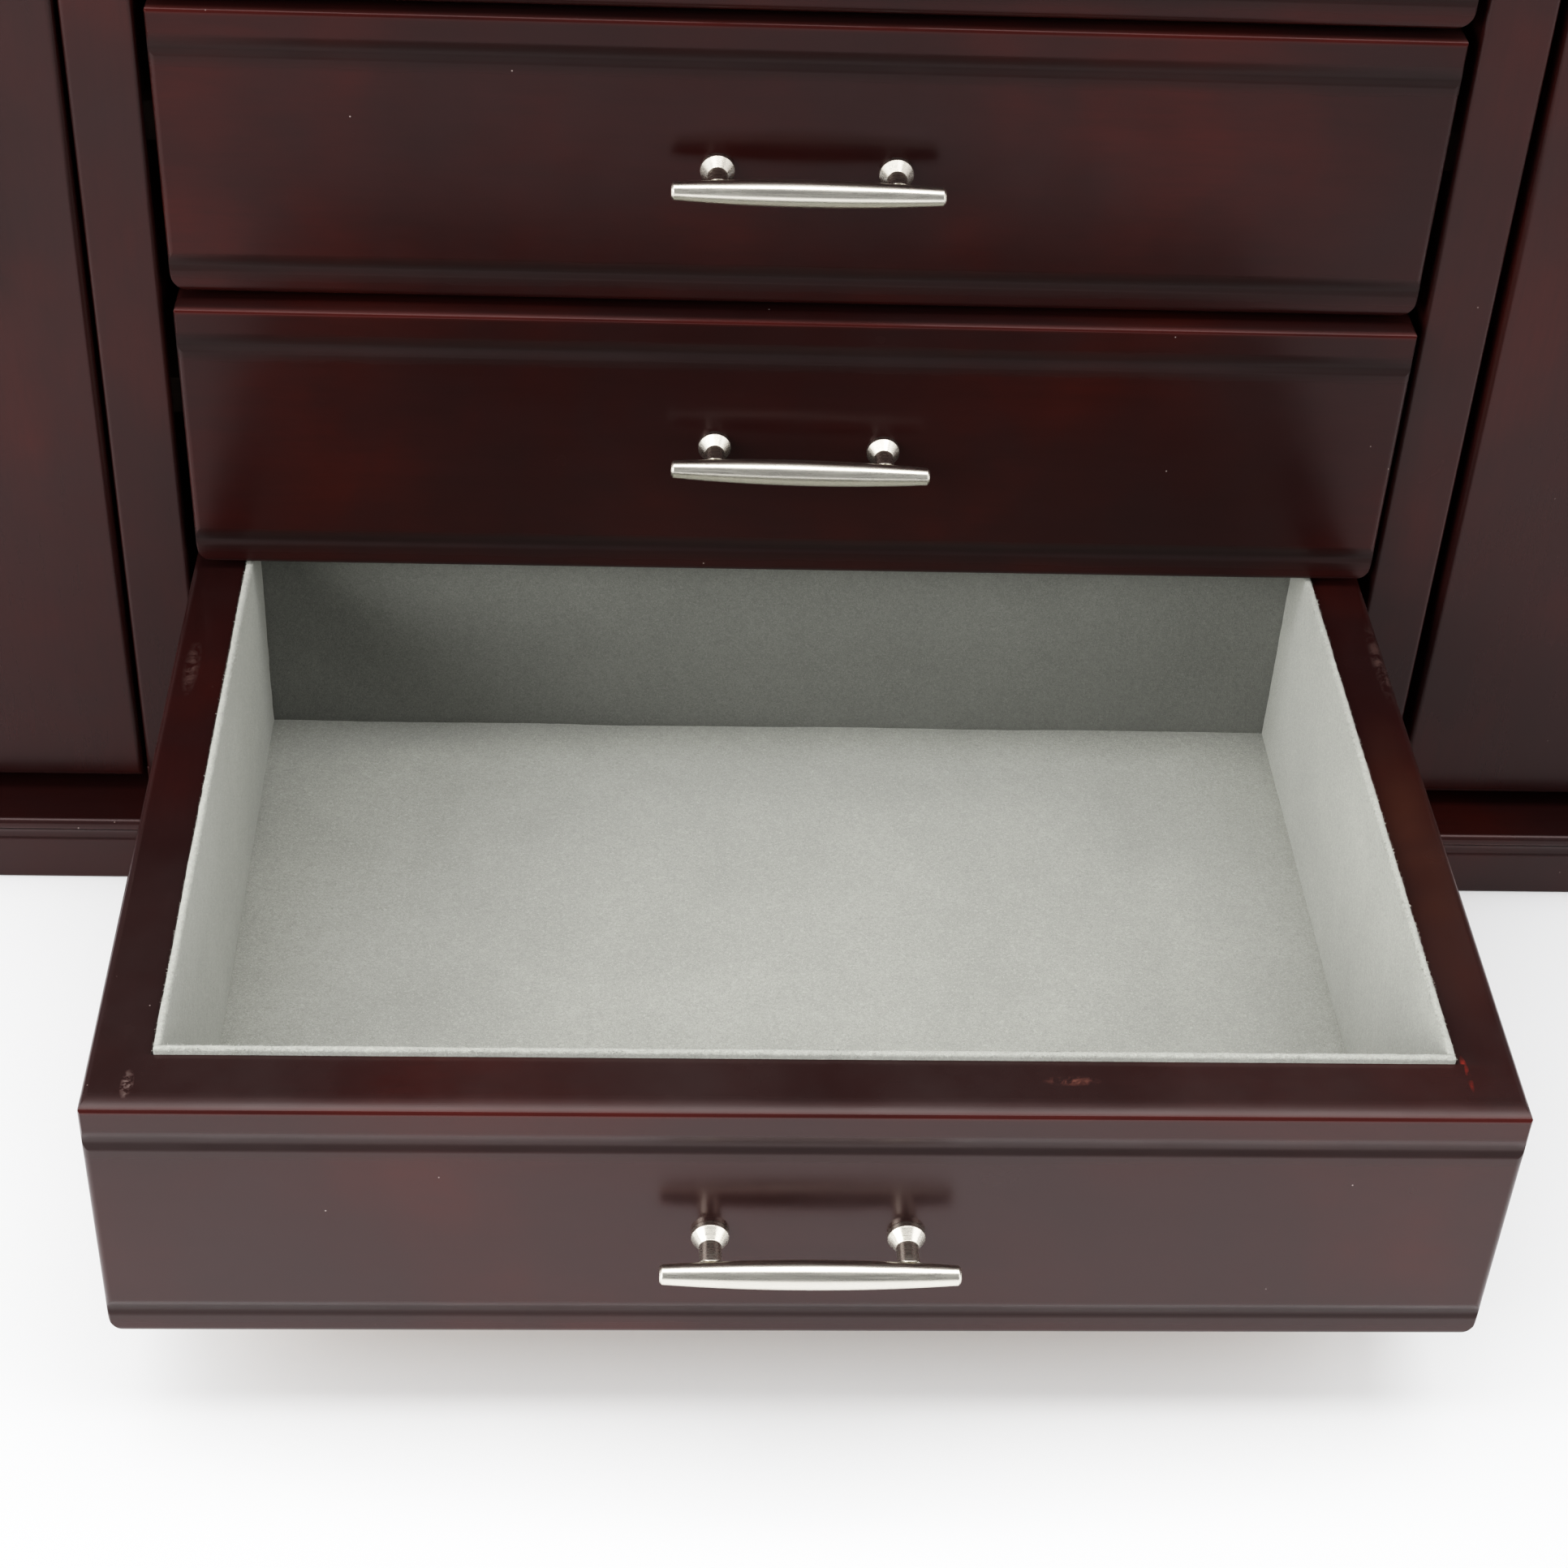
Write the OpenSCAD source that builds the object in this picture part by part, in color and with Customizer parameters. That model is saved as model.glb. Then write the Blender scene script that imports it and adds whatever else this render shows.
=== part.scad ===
// Jewellery chest: four centre drawers, two swing-out necklace doors, lift-up lid.
// Millimetres. Origin: underside of the front plinth rail, in the plane of the carcass
// front, centred left to right. X to the right, Y to the back, Z up.
// Rest pose: bottom drawer pulled out, second drawer a touch open, all else closed.

/* [Carcass] */
// width over the outer sides
body_w = 380; // [360:1:440]
// depth from carcass front to back
body_d = 184; // [180:1:220]
// height of the carcass above the floor, without the lid
body_h = 300; // [290:1:330]
// thickness of the outer sides
side_t = 10; // [8:0.5:12]
// thickness of the two partitions, seen from the front as stiles
part_t = 12.5; // [12:0.5:16]
// thickness of the back panel
back_t = 5; // [4:0.5:6]
// thickness of the carcass floor
floor_t = 6; // [5:0.5:6.5]

/* [Plinth] */
// height of the plinth
plinth_h = 15; // [14:0.5:20]
// how far the plinth stands out in front and at the sides
plinth_out = 10; // [8:0.5:14]

/* [Drawers] */
// clear width between the partitions
open_w = 230; // [220:1:240]
// width of a drawer
drawer_w = 225.6; // [216:0.1:228]
// length of a drawer, front face to back
drawer_l = 167.6; // [150:0.1:170]
// thickness of a drawer front
front_t = 12.2; // [9:0.1:14]
// thickness of the drawer sides and back
wall_t = 10; // [9:0.1:12]
// how far a closed front stands proud of the stiles
proud = 2; // [0.5:0.1:4]
// travel of the bottom drawer at rest
open_1 = 147.3; // [0:0.1:149]
// travel of the second drawer at rest
open_2 = 2.9; // [0:0.1:140]
// thickness of the felt-covered lining boards
felt_t = 1.4; // [1.2:0.1:3]

/* [Pulls] */
// spacing of the two posts of a pull
pull_cc = 31.4; // [30:0.1:34]
// length of a pull bar
bar_l = 47.6; // [44:0.1:60]
// radius of the bar at the middle
bar_r = 2.4; // [1.8:0.05:2.6]
// radius of the bar at its ends
bar_re = 1.6; // [1.2:0.05:2]
// distance from the front face to the bar axis
bar_off = 8.7; // [8:0.1:14]

/* [Doors and lid] */
// thickness of the necklace doors
door_t = 12; // [11:0.5:14]
// thickness of the lid
lid_t = 19; // [16:0.5:24]
// how far the lid stands out in front and at the sides
lid_out = 6; // [4:0.5:9]

/* [Hidden] */
$fn = 64;
hw = body_w / 2;                 // half body width
iw = hw - side_t;                // inside of the outer sides
ow = open_w / 2;                 // drawer opening half width
pw = ow + part_t;                // outer face of a partition
dw = drawer_w / 2;               // drawer half width
li = dw - wall_t;                // inside of the drawer sides
by = body_d - back_t;            // front of the back panel
fz = plinth_h + floor_t;         // top of the carcass floor
dz = [21.8, 74.6, 131.2, 187.1]; // underside of each drawer
dh = [51.5, 55.2, 54.4, 55];     // height of each drawer
dopen = [open_1, open_2, 0, 0];  // travel of each drawer at rest
pz = [24.7, 28.5, 27, 27.4];     // height of each pull on its front
px = [0.2, 0.5, 0, 0];           // sideways place of each pull on its front
tilt = [0, 0.8, 0, 0];           // how far each pull sits out of level, right end down
dx = [-0.7, 0.3, -0.2, 0];       // where each drawer sits in its sideways play
deck_z = 243.6;                   // underside of the tray floor
deck_t = 4;
rail_t = 10;                     // tray walls
hair = 0.03;                     // glue line between boards of one node
gap_l = 0.8;                     // left door to stile
gap_r = 2;                       // right door to stile
door_z0 = plinth_h + 3.5;
door_z1 = body_h - 1.5;
seam = 0.6;                      // door back to side board edge
dp_x = 150;                      // sideways place of the door pulls
dp_z = 150;
hz = [60, 258];                  // heights of the door hinges
hx = [-100, 100];                // sideways places of the lid hinges
lid_z = body_h + 0.8;
run_h = 7.4;                     // runner height
run_x = dw - 3;                  // inner face of a runner
bot_z = 1.6;                     // underside of a drawer bottom panel
bot_t = 3;
wood = [0.20, 0.06, 0.05];
felt = [0.62, 0.64, 0.60];
nickel = [0.78, 0.76, 0.72];

// ---- helpers ----
module bx(x0, x1, y0, y1, z0, z1) translate([x0, y0, z0]) cube([x1 - x0, y1 - y0, z1 - z0]);

// corner piece to cut away so that a corner at the origin, facing -x -y, becomes round
module nick(r) difference() {
  translate([-1, -1]) square(r + 1);
  translate([r, r]) circle(r);
}
// rectangle with its own radius at each corner: low-left, low-right, high-right, high-left
module rr(x0, x1, y0, y1, a, b, c, d) difference() {
  translate([x0, y0]) square([x1 - x0, y1 - y0]);
  if (a > 0) translate([x0, y0]) nick(a);
  if (b > 0) translate([x1, y0]) rotate(90) nick(b);
  if (c > 0) translate([x1, y1]) rotate(180) nick(c);
  if (d > 0) translate([x0, y1]) rotate(270) nick(d);
}
// section given as (y, z), run along x from x0 to x1
module along_x(x0, x1) translate([x0, 0, 0]) rotate([90, 0, 90]) linear_extrude(x1 - x0) children();
// section given as (x, z), run along y from y0 to y1
module along_y(y0, y1) translate([0, y1, 0]) rotate([90, 0, 0]) linear_extrude(y1 - y0) children();
// plan given as (x, y), run up from z0 to z1
module up(z0, z1) translate([0, 0, z0]) linear_extrude(z1 - z0) children();
module both() { children(); mirror([1, 0, 0]) children(); }

// ---- drawers ----
// soft-lipped cove, steeper on its lower side: height, depth and the setback of the outer band
// beside it, with k from -10 to 10 across its width
function across(k) = k < 0 ? 0.15 * k : 0.26 * k;
function cove(k) = 0.5 * pow(cos(9 * k), 2);
function band(k) = 0.15 * (1 + sin(9 * k));
module front_section(h) difference() {
  // the top edge eases over in a flat quarter ellipse
  polygon(concat([[front_t, 0], [0.3, 0]],
    [for (k = [-10:10]) [cove(k) + band(-k), 5.75 + across(k)]],
    [for (k = [-10:10]) [cove(k) + band(k), h - 7.5 + across(k)]],
    [for (k = [0:12]) [0.3 + 2.9 * (1 - cos(7.5 * k)), h - 1.1 + 1.1 * sin(7.5 * k)]],
    [[front_t, h]]));
  translate([0.3, 0]) nick(1.6);
  translate([front_t, 0]) rotate(90) nick(0.4);
}
module dpos(i) translate([dx[i], -proud - dopen[i], dz[i]]) children();

module drawer_front(i) color(wood) dpos(i) difference() {
  intersection() {
    along_x(-dw, dw) front_section(dh[i]);
    along_y(-2, front_t + 1) rr(-dw, dw, 0, dh[i], 4.5, 4.5, 1.4, 1.4);
    up(-1, dh[i] + 1) rr(-dw, dw, 0, front_t, 1.3, 1.3, 0, 0);
  }
  // groove for the bottom panel
  bx(-li - 3, li + 3, front_t - 3, front_t + 1, bot_z, bot_z + bot_t);
  // screw holes of the pull, with sunk heads inside
  for (s = [-1, 1]) translate([px[i], 0, pz[i]]) rotate([0, tilt[i], 0])
    translate([s * pull_cc / 2, 0, 0]) rotate([-90, 0, 0]) {
    translate([0, 0, -1]) cylinder(r = 1.25, h = front_t + 2);
    translate([0, 0, front_t - 2.2]) cylinder(r = 2.9, h = 4);
  }
}
module wall_side(h) difference() {
  along_y(front_t, drawer_l) rr(li, dw, 0, h, 0.4, 1, 1.4, 0.5);
  // runner groove
  bx(dw - 4.2, dw + 1, front_t - 1, drawer_l + 1, h / 2 - 4, h / 2 + 4);
  // groove for the bottom panel
  bx(li - 1, li + 3, front_t - 1, drawer_l - wall_t + 3, bot_z, bot_z + bot_t);
}
module drawer_walls(i) color(wood) dpos(i) {
  wall_side(dh[i]);
  mirror([1, 0, 0]) wall_side(dh[i]);
  difference() {
    along_x(-li + hair, li - hair)
      rr(drawer_l - wall_t, drawer_l, 0, dh[i], 0.4, 0.8, 0.8, 0.5);
    bx(-li - 1, li + 1, drawer_l - wall_t - 1, drawer_l - wall_t + 3, bot_z, bot_z + bot_t);
  }
}
module drawer_bottom(i) color([0.55, 0.40, 0.28]) dpos(i)
  bx(-li - 2.9, li + 2.9, front_t - 2.9, drawer_l - wall_t + 2.9, bot_z + 0.05, bot_z + bot_t);

module drawer_lining(i) color(felt) dpos(i) {
  z0 = bot_z + bot_t;
  y0 = front_t;
  y1 = drawer_l - wall_t;
  z1 = dh[i] + 1.2;
  zf = z0 + 2;
  bx(-li, li, y0, y1, z0, zf - hair);
  along_x(-li, li) rr(y0, y0 + felt_t, zf, z1, 0, 0, 0.5, 0.5);
  along_x(-li, li) rr(y1 - felt_t, y1, zf, z1, 0, 0, 0.5, 0.5);
  both() along_y(y0 + felt_t + hair, y1 - felt_t - hair)
    rr(li - felt_t, li, zf, z1, 0, 0, 0.5, 0.5);
}
// bar along x with its axis through the origin
module bar() difference() {
  rotate([0, 90, 0]) rotate_extrude() polygon(concat([[0, -bar_l / 2]],
    [[bar_re - 0.4, -bar_l / 2]],
    [for (k = [-8:8]) [bar_re + (bar_r - bar_re) * (1 - pow(k / 8, 2)),
      k / 8 * (bar_l / 2 - 0.4)]],
    [[bar_re - 0.4, bar_l / 2], [0, bar_l / 2]]));
  for (s = [-1, 1]) translate([s * pull_cc / 2, 0, 0]) rotate([-90, 0, 0])
    cylinder(r = 1.52, h = 6);
}
// post from the wood face at y = 0 out to the bar, towards -y
module post() difference() {
  rotate([90, 0, 0]) union() {
    cylinder(r = 3.05, h = 1);
    translate([0, 0, 1]) cylinder(r1 = 3.05, r2 = 1.8, h = 2);
    difference() {
      translate([0, 0, 2.9]) cylinder(r = 1.8, h = bar_off - 2.9);
      translate([-6, 0, bar_off]) rotate([0, 90, 0]) cylinder(r = bar_r - 0.2, h = 12);
    }
    cylinder(r = 1.5, h = bar_off);
  }
  translate([0, 1, 0]) rotate([90, 0, 0]) cylinder(r = 1.0, h = 6.5);
}
// pan-head screw run from behind into a post, through wood t thick
module pull_screw(t) rotate([90, 0, 0]) difference() {
  union() {
    cylinder(r = 0.95, h = t + 3);
    cylinder(r = 2.6, h = 1.7);
  }
  for (a = [0, 90]) rotate(a) translate([-1.5, -0.3, -1]) cube([3, 0.6, 1.8]);
}
module pull_at(i) dpos(i) translate([px[i], 0, pz[i]]) rotate([0, tilt[i], 0]) children();
module drawer_bar(i) color(nickel) pull_at(i) translate([0, -bar_off, 0]) bar();
module drawer_posts(i) color(nickel) pull_at(i)
  for (s = [-1, 1]) translate([s * pull_cc / 2, 0, 0]) post();
module drawer_screws(i) color([0.6, 0.6, 0.6]) pull_at(i)
  for (s = [-1, 1]) translate([s * pull_cc / 2, front_t - 0.4, 0]) pull_screw(front_t);

module drawer_1_front() drawer_front(0);
module drawer_1_walls() drawer_walls(0);
module drawer_1_bottom() drawer_bottom(0);
module drawer_1_lining() drawer_lining(0);
module drawer_1_pull_bar() drawer_bar(0);
module drawer_1_pull_posts() drawer_posts(0);
module drawer_1_screws() drawer_screws(0);
module drawer_2_front() drawer_front(1);
module drawer_2_walls() drawer_walls(1);
module drawer_2_bottom() drawer_bottom(1);
module drawer_2_lining() drawer_lining(1);
module drawer_2_pull_bar() drawer_bar(1);
module drawer_2_pull_posts() drawer_posts(1);
module drawer_2_screws() drawer_screws(1);
module drawer_3_front() drawer_front(2);
module drawer_3_walls() drawer_walls(2);
module drawer_3_bottom() drawer_bottom(2);
module drawer_3_lining() drawer_lining(2);
module drawer_3_pull_bar() drawer_bar(2);
module drawer_3_pull_posts() drawer_posts(2);
module drawer_3_screws() drawer_screws(2);
module drawer_4_front() drawer_front(3);
module drawer_4_walls() drawer_walls(3);
module drawer_4_bottom() drawer_bottom(3);
module drawer_4_lining() drawer_lining(3);
module drawer_4_pull_bar() drawer_bar(3);
module drawer_4_pull_posts() drawer_posts(3);
module drawer_4_screws() drawer_screws(3);

// ---- carcass ----
// moulding section: u outward from the body face, z up
module plinth_section() difference() {
  rr(-10, plinth_out, 0, plinth_h, 0, 0, 1.2, 0);
  translate([plinth_out - 0.7, -1]) square([3, plinth_h - 4.4]);
  translate([plinth_out + 1.5, plinth_h - 4]) circle(2.6);
}
module plinth() color(wood) {
  // front rail, mitred
  intersection() {
    along_x(-hw - plinth_out, hw + plinth_out) mirror([1, 0]) plinth_section();
    up(-1, plinth_h + 1) polygon([[-hw - plinth_out + 2 * hair, -plinth_out],
      [hw + plinth_out - 2 * hair, -plinth_out], [hw - 10 - 2 * hair, 10],
      [-hw + 10 + 2 * hair, 10]]);
  }
  // side rails
  both() intersection() {
    along_y(-plinth_out, body_d) translate([hw, 0]) plinth_section();
    up(-1, plinth_h + 1) polygon([[hw + plinth_out, -plinth_out], [hw + plinth_out, body_d],
      [hw - 10, body_d], [hw - 10, 10]]);
  }
  // back rail
  bx(-hw + 10 + hair, hw - 10 - hair, body_d - 20, body_d, 0, plinth_h);
}
module carcass_floor() color(wood) union() {
  bx(-pw, pw, 0.4, by, plinth_h, fz);
  bx(-iw, iw, door_t + 1.5, by, plinth_h, fz);
}
module runner_holes(x) for (i = [0:3]) for (y = [24, 150])
  translate([x, y, dz[i] + dh[i] / 2]) rotate([0, 90, 0]) cylinder(r = 1.0, h = 12);
module partition() difference() {
  up(fz, body_h) rr(ow, pw, 0, by, 0.9, 0.9, 0, 0);
  runner_holes(ow - 0.5);
}
module partitions() color(wood) both() partition();
module outer_side() difference() {
  up(plinth_h, body_h) rr(iw, hw, door_t + seam, body_d, 0, 0.4, 0.8, 0);
  for (z = hz) hinge_side(z) leaf_bores(1, 8.6);
}
module outer_sides() color(wood) both() outer_side();
module back_panel() color(wood) difference() {
  bx(-iw, iw, by, body_d, fz, body_h);
  lid_hinge_at() leaf_bores(1);
}
module tray_deck() color(wood) bx(-ow, ow, rail_t, by, deck_z, deck_z + deck_t);
module tray_rails() color(wood) {
  along_x(-ow, ow) rr(0, rail_t, deck_z, body_h, 0.6, 0, 0, 0.6);
  difference() {
    bx(-ow, ow, by - rail_t, by, deck_z + deck_t, body_h);
    lid_hinge_at() leaf_bores(1);
  }
}
module wing_tops() color(wood) both() bx(pw, iw, door_t + 1.5, by, body_h - 10, body_h);
module runner(i) difference() {
  z = dz[i] + dh[i] / 2;
  along_y(11, 172) rr(run_x, ow, z - run_h / 2, z + run_h / 2, 0.6, 0, 0, 0.6);
  runner_holes(dw - 5);
  for (y = [24, 150]) translate([run_x - 0.01, y, z]) rotate([0, 90, 0])
    cylinder(r1 = 2.1, r2 = 1.0, h = 1.6);
}
module runners() color([0.45, 0.30, 0.20]) both() for (i = [0:3]) runner(i);
// countersunk screw, head h high, with a cross recess c deep
module wood_screw(l, h = 1.5, c = 0.7) difference() {
  union() {
    cylinder(r = 0.95, h = l);
    cylinder(r1 = 2.0, r2 = 0.95, h = h);
  }
  for (a = [0, 90]) rotate(a) translate([-1.1, -0.25, -1]) cube([2.2, 0.5, 1 + c]);
}
module carcass_screws() color([0.6, 0.6, 0.6]) {
  both() for (i = [0:3]) for (y = [24, 150])
    translate([run_x + 0.05, y, dz[i] + dh[i] / 2]) rotate([0, 90, 0]) wood_screw(12);
  both() for (z = hz) hinge_side(z) leaf_screws(1, 7.5);
  lid_hinge_at() leaf_screws(1, 10);
}
module tray_lining() color(felt) {
  z0 = deck_z + deck_t;
  zf = z0 + 1.5;
  ya = rail_t + 1.5 + hair;
  yb = by - rail_t - 1.5 - hair;
  bx(-ow, ow, rail_t, by - rail_t, z0, zf - hair);
  for (y = [rail_t, by - rail_t - 1.5]) bx(-ow, ow, y, y + 1.5, zf, body_h - 0.6);
  both() bx(ow - 1.5, ow, ya, yb, zf, body_h - 0.6);
  // dividers
  both() along_y(ya, yb) rr(36.5, 39.5, zf, body_h - 10, 0, 0, 1, 1);
}
module ring_rolls() color(felt) for (k = [0:8]) {
  y = rail_t + 10.3 + k * 17.05;
  along_x(-ow + 1.6, -39.6) union() {
    translate([y, deck_z + deck_t + 10]) circle(8);
    translate([y - 8, deck_z + deck_t + 1.5]) square([16, 8.5]);
  }
}
module wing_linings() color(felt) both() {
  bx(pw, iw, by - 1.5, by, fz, body_h - 10);
  bx(pw, iw, door_t + 1.5, by - 1.5 - hair, fz, fz + 1.5);
}
module hook_rails() color(wood) both() difference() {
  along_y(26, 168) rr(148, 160, body_h - 20, body_h - 10, 1, 1, 0, 0);
  for (k = [0:3]) translate([154, 40 + 38 * k, body_h - 21]) cylinder(r = 0.85, h = 7);
}
module hook() {
  translate([0, 0, -8]) cylinder(r = 0.8, h = 13);
  translate([4, 0, -8]) rotate([90, 0, 0]) rotate([0, 0, 180]) rotate_extrude(angle = 180)
    translate([4, 0]) circle(0.8);
  translate([8, 0, -8]) sphere(1.3);
}
module necklace_hooks() color(nickel) both() for (k = [0:3])
  translate([154, 40 + 38 * k, body_h - 20]) hook();

// ---- hinges ----
// local frame: pin along z through the origin, the wood face at x = -1.7, the fixed leaf
// towards +y, the moving leaf towards -y
module hinge_side(z) translate([hw + 1.7, door_t + seam / 2, z]) children();
module lid_hinge_at() for (x = hx) translate([x, body_d + 1.7, body_h + 0.4])
  rotate([0, -90, 0]) rotate([0, 0, 90]) children();
module leaf_bores(s, l = 12) for (z = [-8, 8]) translate([-1.6, s * 6.2, z])
  rotate([0, -90, 0]) cylinder(r = 1.0, h = l);
module leaf_screws(s, l) for (z = [-8, 8]) translate([-0.95, s * 6.2, z])
  rotate([0, -90, 0]) wood_screw(l, 0.72, 0.4);
module leaf_plate(s) difference() {
  union() {
    translate([-1.7, s > 0 ? 1.8 : -10.6, -12]) cube([0.8, 8.8, 24]);
    if (s > 0) for (z = [-12, 4.15]) translate([-1.7, 0, z]) cube([0.8, 2, 7.85]);
    if (s > 0) for (z = [-12, 4.15]) translate([0, 0, z]) cylinder(r = 1.5, h = 7.85);
    if (s < 0) translate([-1.7, -2, -3.85]) cube([0.8, 2, 7.7]);
    if (s < 0) translate([0, 0, -3.85]) cylinder(r = 1.5, h = 7.7);
  }
  translate([0, 0, -13]) cylinder(r = s > 0 ? 0.76 : 0.8, h = 26);
  for (z = [-8, 8]) translate([-0.89, s * 6.2, z]) rotate([0, -90, 0])
    cylinder(r1 = 2.1, r2 = 1.05, h = 0.82);
}
module pin() union() {
  translate([0, 0, -12.6]) cylinder(r = 0.75, h = 25.2);
  translate([0, 0, -13.4]) cylinder(r = 1.3, h = 1.2);
  translate([0, 0, 12.2]) cylinder(r = 1.3, h = 1.2);
}
module hinge_frames() color(nickel) {
  both() for (z = hz) hinge_side(z) leaf_plate(1);
  lid_hinge_at() leaf_plate(1);
}
module hinge_pins() color(nickel) {
  both() for (z = hz) hinge_side(z) pin();
  lid_hinge_at() pin();
}

// ---- doors ----
module door(g) difference() {
  intersection() {
    up(door_z0, door_z1) rr(pw + g, hw, 0, door_t, 1.3, 1.0, 0.4, 0.4);
    along_x(pw, hw + 1) rr(0, door_t, door_z0, door_z1, 1.6, 0.4, 0.4, 1.0);
  }
  for (z = hz) hinge_side(z) leaf_bores(-1);
  for (s = [-1, 1]) translate([dp_x, 0, dp_z + s * pull_cc / 2]) rotate([-90, 0, 0]) {
    translate([0, 0, -1]) cylinder(r = 1.25, h = door_t + 2);
    translate([0, 0, door_t - 2.2]) cylinder(r = 2.9, h = 4);
  }
}
module door_leaves() for (z = hz) hinge_side(z) leaf_plate(-1);
// the posts are turned so that their saddles fit the upright bar
module door_bar() translate([dp_x, -bar_off, dp_z]) rotate([0, 90, 0]) bar();
module door_posts() for (s = [-1, 1]) translate([dp_x, 0, dp_z + s * pull_cc / 2])
  rotate([0, 90, 0]) post();
module door_screws() {
  for (z = hz) hinge_side(z) leaf_screws(-1, 10);
  for (s = [-1, 1]) translate([dp_x, door_t - 0.4, dp_z + s * pull_cc / 2])
    pull_screw(door_t);
}
module left_door_panel() color(wood) mirror([1, 0, 0]) door(gap_l);
module left_door_leaves() color(nickel) mirror([1, 0, 0]) door_leaves();
module left_door_pull_bar() color(nickel) mirror([1, 0, 0]) door_bar();
module left_door_pull_posts() color(nickel) mirror([1, 0, 0]) door_posts();
module left_door_screws() color([0.6, 0.6, 0.6]) mirror([1, 0, 0]) door_screws();
module right_door_panel() color(wood) door(gap_r);
module right_door_leaves() color(nickel) door_leaves();
module right_door_pull_bar() color(nickel) door_bar();
module right_door_pull_posts() color(nickel) door_posts();
module right_door_screws() color([0.6, 0.6, 0.6]) door_screws();

// ---- lid ----
module lid_board() color(wood) difference() {
  intersection() {
    along_x(-hw - lid_out, hw + lid_out)
      rr(-lid_out, body_d, lid_z, lid_z + lid_t, 3, 0.5, 1, 6);
    along_y(-lid_out - 1, body_d + 1)
      rr(-hw - lid_out, hw + lid_out, lid_z, lid_z + lid_t, 3, 3, 6, 6);
  }
  // shallow recess for the lining, deeper one for the mirror
  bx(-iw, iw, 12, by - 12, lid_z - 1, lid_z + 1.6);
  bx(-120, 120, 38, 142, lid_z - 1, lid_z + 3.2);
  lid_hinge_at() leaf_bores(-1);
}
module lid_mirror() color([0.8, 0.85, 0.88]) bx(-119.9, 119.9, 38.1, 141.9, lid_z + 0.2, lid_z + 3.2);
module lid_lining() color(felt) difference() {
  bx(-iw, iw, 12, by - 12, lid_z + 0.1, lid_z + 1.6);
  bx(-120, 120, 38, 142, lid_z - 1, lid_z + 3);
}
module lid_leaves() color(nickel) lid_hinge_at() leaf_plate(-1);
module lid_screws() color([0.6, 0.6, 0.6]) lid_hinge_at() leaf_screws(-1, 12);

plinth();
carcass_floor();
partitions();
outer_sides();
back_panel();
tray_deck();
tray_rails();
wing_tops();
runners();
carcass_screws();
tray_lining();
ring_rolls();
wing_linings();
hook_rails();
necklace_hooks();
hinge_frames();
hinge_pins();
drawer_1_front();
drawer_1_walls();
drawer_1_bottom();
drawer_1_lining();
drawer_1_pull_bar();
drawer_1_pull_posts();
drawer_1_screws();
drawer_2_front();
drawer_2_walls();
drawer_2_bottom();
drawer_2_lining();
drawer_2_pull_bar();
drawer_2_pull_posts();
drawer_2_screws();
drawer_3_front();
drawer_3_walls();
drawer_3_bottom();
drawer_3_lining();
drawer_3_pull_bar();
drawer_3_pull_posts();
drawer_3_screws();
drawer_4_front();
drawer_4_walls();
drawer_4_bottom();
drawer_4_lining();
drawer_4_pull_bar();
drawer_4_pull_posts();
drawer_4_screws();
left_door_panel();
left_door_leaves();
left_door_pull_bar();
left_door_pull_posts();
left_door_screws();
right_door_panel();
right_door_leaves();
right_door_pull_bar();
right_door_pull_posts();
right_door_screws();
lid_board();
lid_mirror();
lid_lining();
lid_leaves();
lid_screws();
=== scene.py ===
"""Looks of the jewellery chest: lacquer, felt, metal, table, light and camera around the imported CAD."""
import math
import random

import bmesh
import bpy
from mathutils import Matrix, Vector
from mathutils.noise import noise as noise3


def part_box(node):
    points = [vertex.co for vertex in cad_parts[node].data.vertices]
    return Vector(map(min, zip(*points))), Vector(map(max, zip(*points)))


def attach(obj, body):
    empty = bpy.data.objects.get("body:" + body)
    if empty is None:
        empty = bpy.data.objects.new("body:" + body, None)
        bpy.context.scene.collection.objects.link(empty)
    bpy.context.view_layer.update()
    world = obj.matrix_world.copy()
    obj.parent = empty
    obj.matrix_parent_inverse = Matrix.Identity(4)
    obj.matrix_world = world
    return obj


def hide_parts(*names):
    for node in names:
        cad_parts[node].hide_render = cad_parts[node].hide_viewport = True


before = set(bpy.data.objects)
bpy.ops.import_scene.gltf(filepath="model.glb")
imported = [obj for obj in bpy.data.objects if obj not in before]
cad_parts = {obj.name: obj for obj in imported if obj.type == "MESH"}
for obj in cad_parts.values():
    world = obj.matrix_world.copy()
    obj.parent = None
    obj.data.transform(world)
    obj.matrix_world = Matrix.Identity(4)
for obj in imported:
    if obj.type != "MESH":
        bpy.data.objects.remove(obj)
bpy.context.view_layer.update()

scene = bpy.context.scene
MM = 0.001


# ---------------------------------------------------------------- camera
YAW, PITCH, ROLL = (math.radians(a) for a in (3.906, 38.649, -3.156))
CAM_AT = Vector((-30.14, -468.56, 394.47)) * MM
LENS = 67.19

cam_data = bpy.data.cameras.new("camera")
cam_data.lens = LENS
cam_data.sensor_width = 36
cam_data.sensor_fit = "HORIZONTAL"
cam_data.clip_start = 0.01
camera = bpy.data.objects.new("camera", cam_data)
scene.collection.objects.link(camera)
forward = Vector((math.sin(YAW) * math.cos(PITCH), math.cos(YAW) * math.cos(PITCH), -math.sin(PITCH)))
right = Vector((math.cos(YAW), -math.sin(YAW), 0))
down = forward.cross(right)
cam_right = right * math.cos(ROLL) + down * math.sin(ROLL)
cam_down = down * math.cos(ROLL) - right * math.sin(ROLL)
turn = Matrix((cam_right, -cam_down, -forward)).transposed()
camera.matrix_world = Matrix.Translation(CAM_AT) @ turn.to_4x4()
scene.camera = camera


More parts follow.
